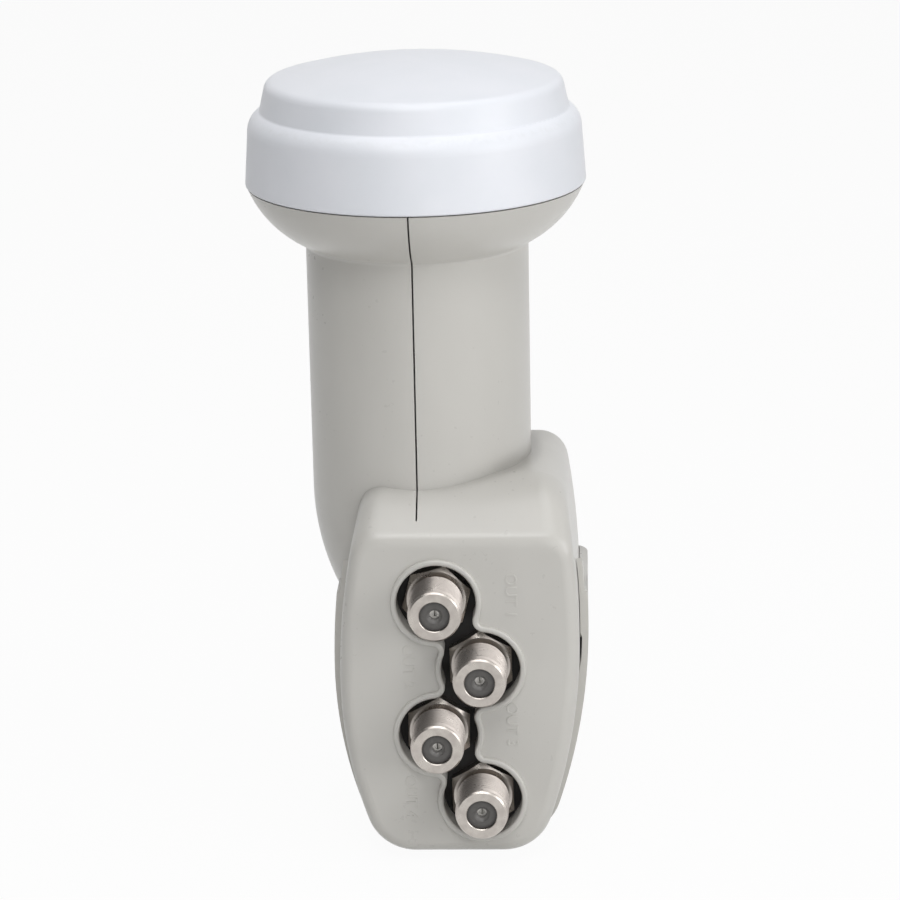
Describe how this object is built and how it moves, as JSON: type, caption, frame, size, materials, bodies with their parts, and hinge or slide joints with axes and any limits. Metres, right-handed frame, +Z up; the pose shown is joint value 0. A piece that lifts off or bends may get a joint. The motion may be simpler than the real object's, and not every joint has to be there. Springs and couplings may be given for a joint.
{
  "type": "satellite lnb",
  "caption": "Satellite dish LNB: white domed feed cap on a flared round neck, with an offset grey housing whose front carries stepped F connectors in a raised zigzag window.",
  "frame": {"origin": "on the neck axis, half way along the straight part that a clamp grips", "axes": "+Z up the neck to the cap, -Y the way the connectors face, +X to the right seen from the connectors"},
  "size_m": [0.0608, 0.0661, 0.1421],
  "materials": {
    "cap_plastic": "smooth, slightly glossy, bluish white",
    "housing_plastic": "fine satin, light warm grey",
    "rubber": "matt black",
    "cast_aluminium": "as cast",
    "board_laminate": "pale laminate with a tinned track layer",
    "screw_steel": "zinc plated",
    "white_ptfe": "waxy",
    "probe_brass": "gold flashed",
    "chip_black": "moulded",
    "can_metal": "tinned can",
    "chip_tan": "fired ceramic with tinned ends",
    "absorber": "filled foam sheet",
    "nickel": "nickel plate, lightly handled",
    "insulator_grey": "moulded",
    "contact_metal": "tin plate"
  },
  "bodies": {
    "root": {"absorber_pad": "absorber", "amplifier_transistors": "chip_black", "board_screws": "screw_steel", "cap_seal": "rubber", "chip_capacitors": "chip_tan", "connector_cover": "housing_plastic", "connector_gasket": "rubber", "connector_plate": "cast_aluminium", "converter_chip": "chip_black", "crystal_can": "can_metal", "f_connector_1": "nickel", "f_connector_2": "nickel", "f_connector_3": "nickel", "f_connector_4": "nickel", "f_contact_1": "contact_metal", "f_contact_2": "contact_metal", "f_contact_3": "contact_metal", "f_contact_4": "contact_metal", "f_insulator_1": "insulator_grey", "f_insulator_2": "insulator_grey", "f_insulator_3": "insulator_grey", "f_insulator_4": "insulator_grey", "feed_cap": "cap_plastic", "horn_casting": "cast_aluminium", "neck_shell_left": "housing_plastic", "neck_shell_right": "housing_plastic", "plate_screws": "screw_steel", "probe_bush_lower": "white_ptfe", "probe_bush_upper": "white_ptfe", "probe_lower": "probe_brass", "probe_upper": "probe_brass", "rear_cover": "housing_plastic", "regulator": "chip_black", "rf_board": "board_laminate", "tray_seal": "rubber"}
  },
  "joints": []
}
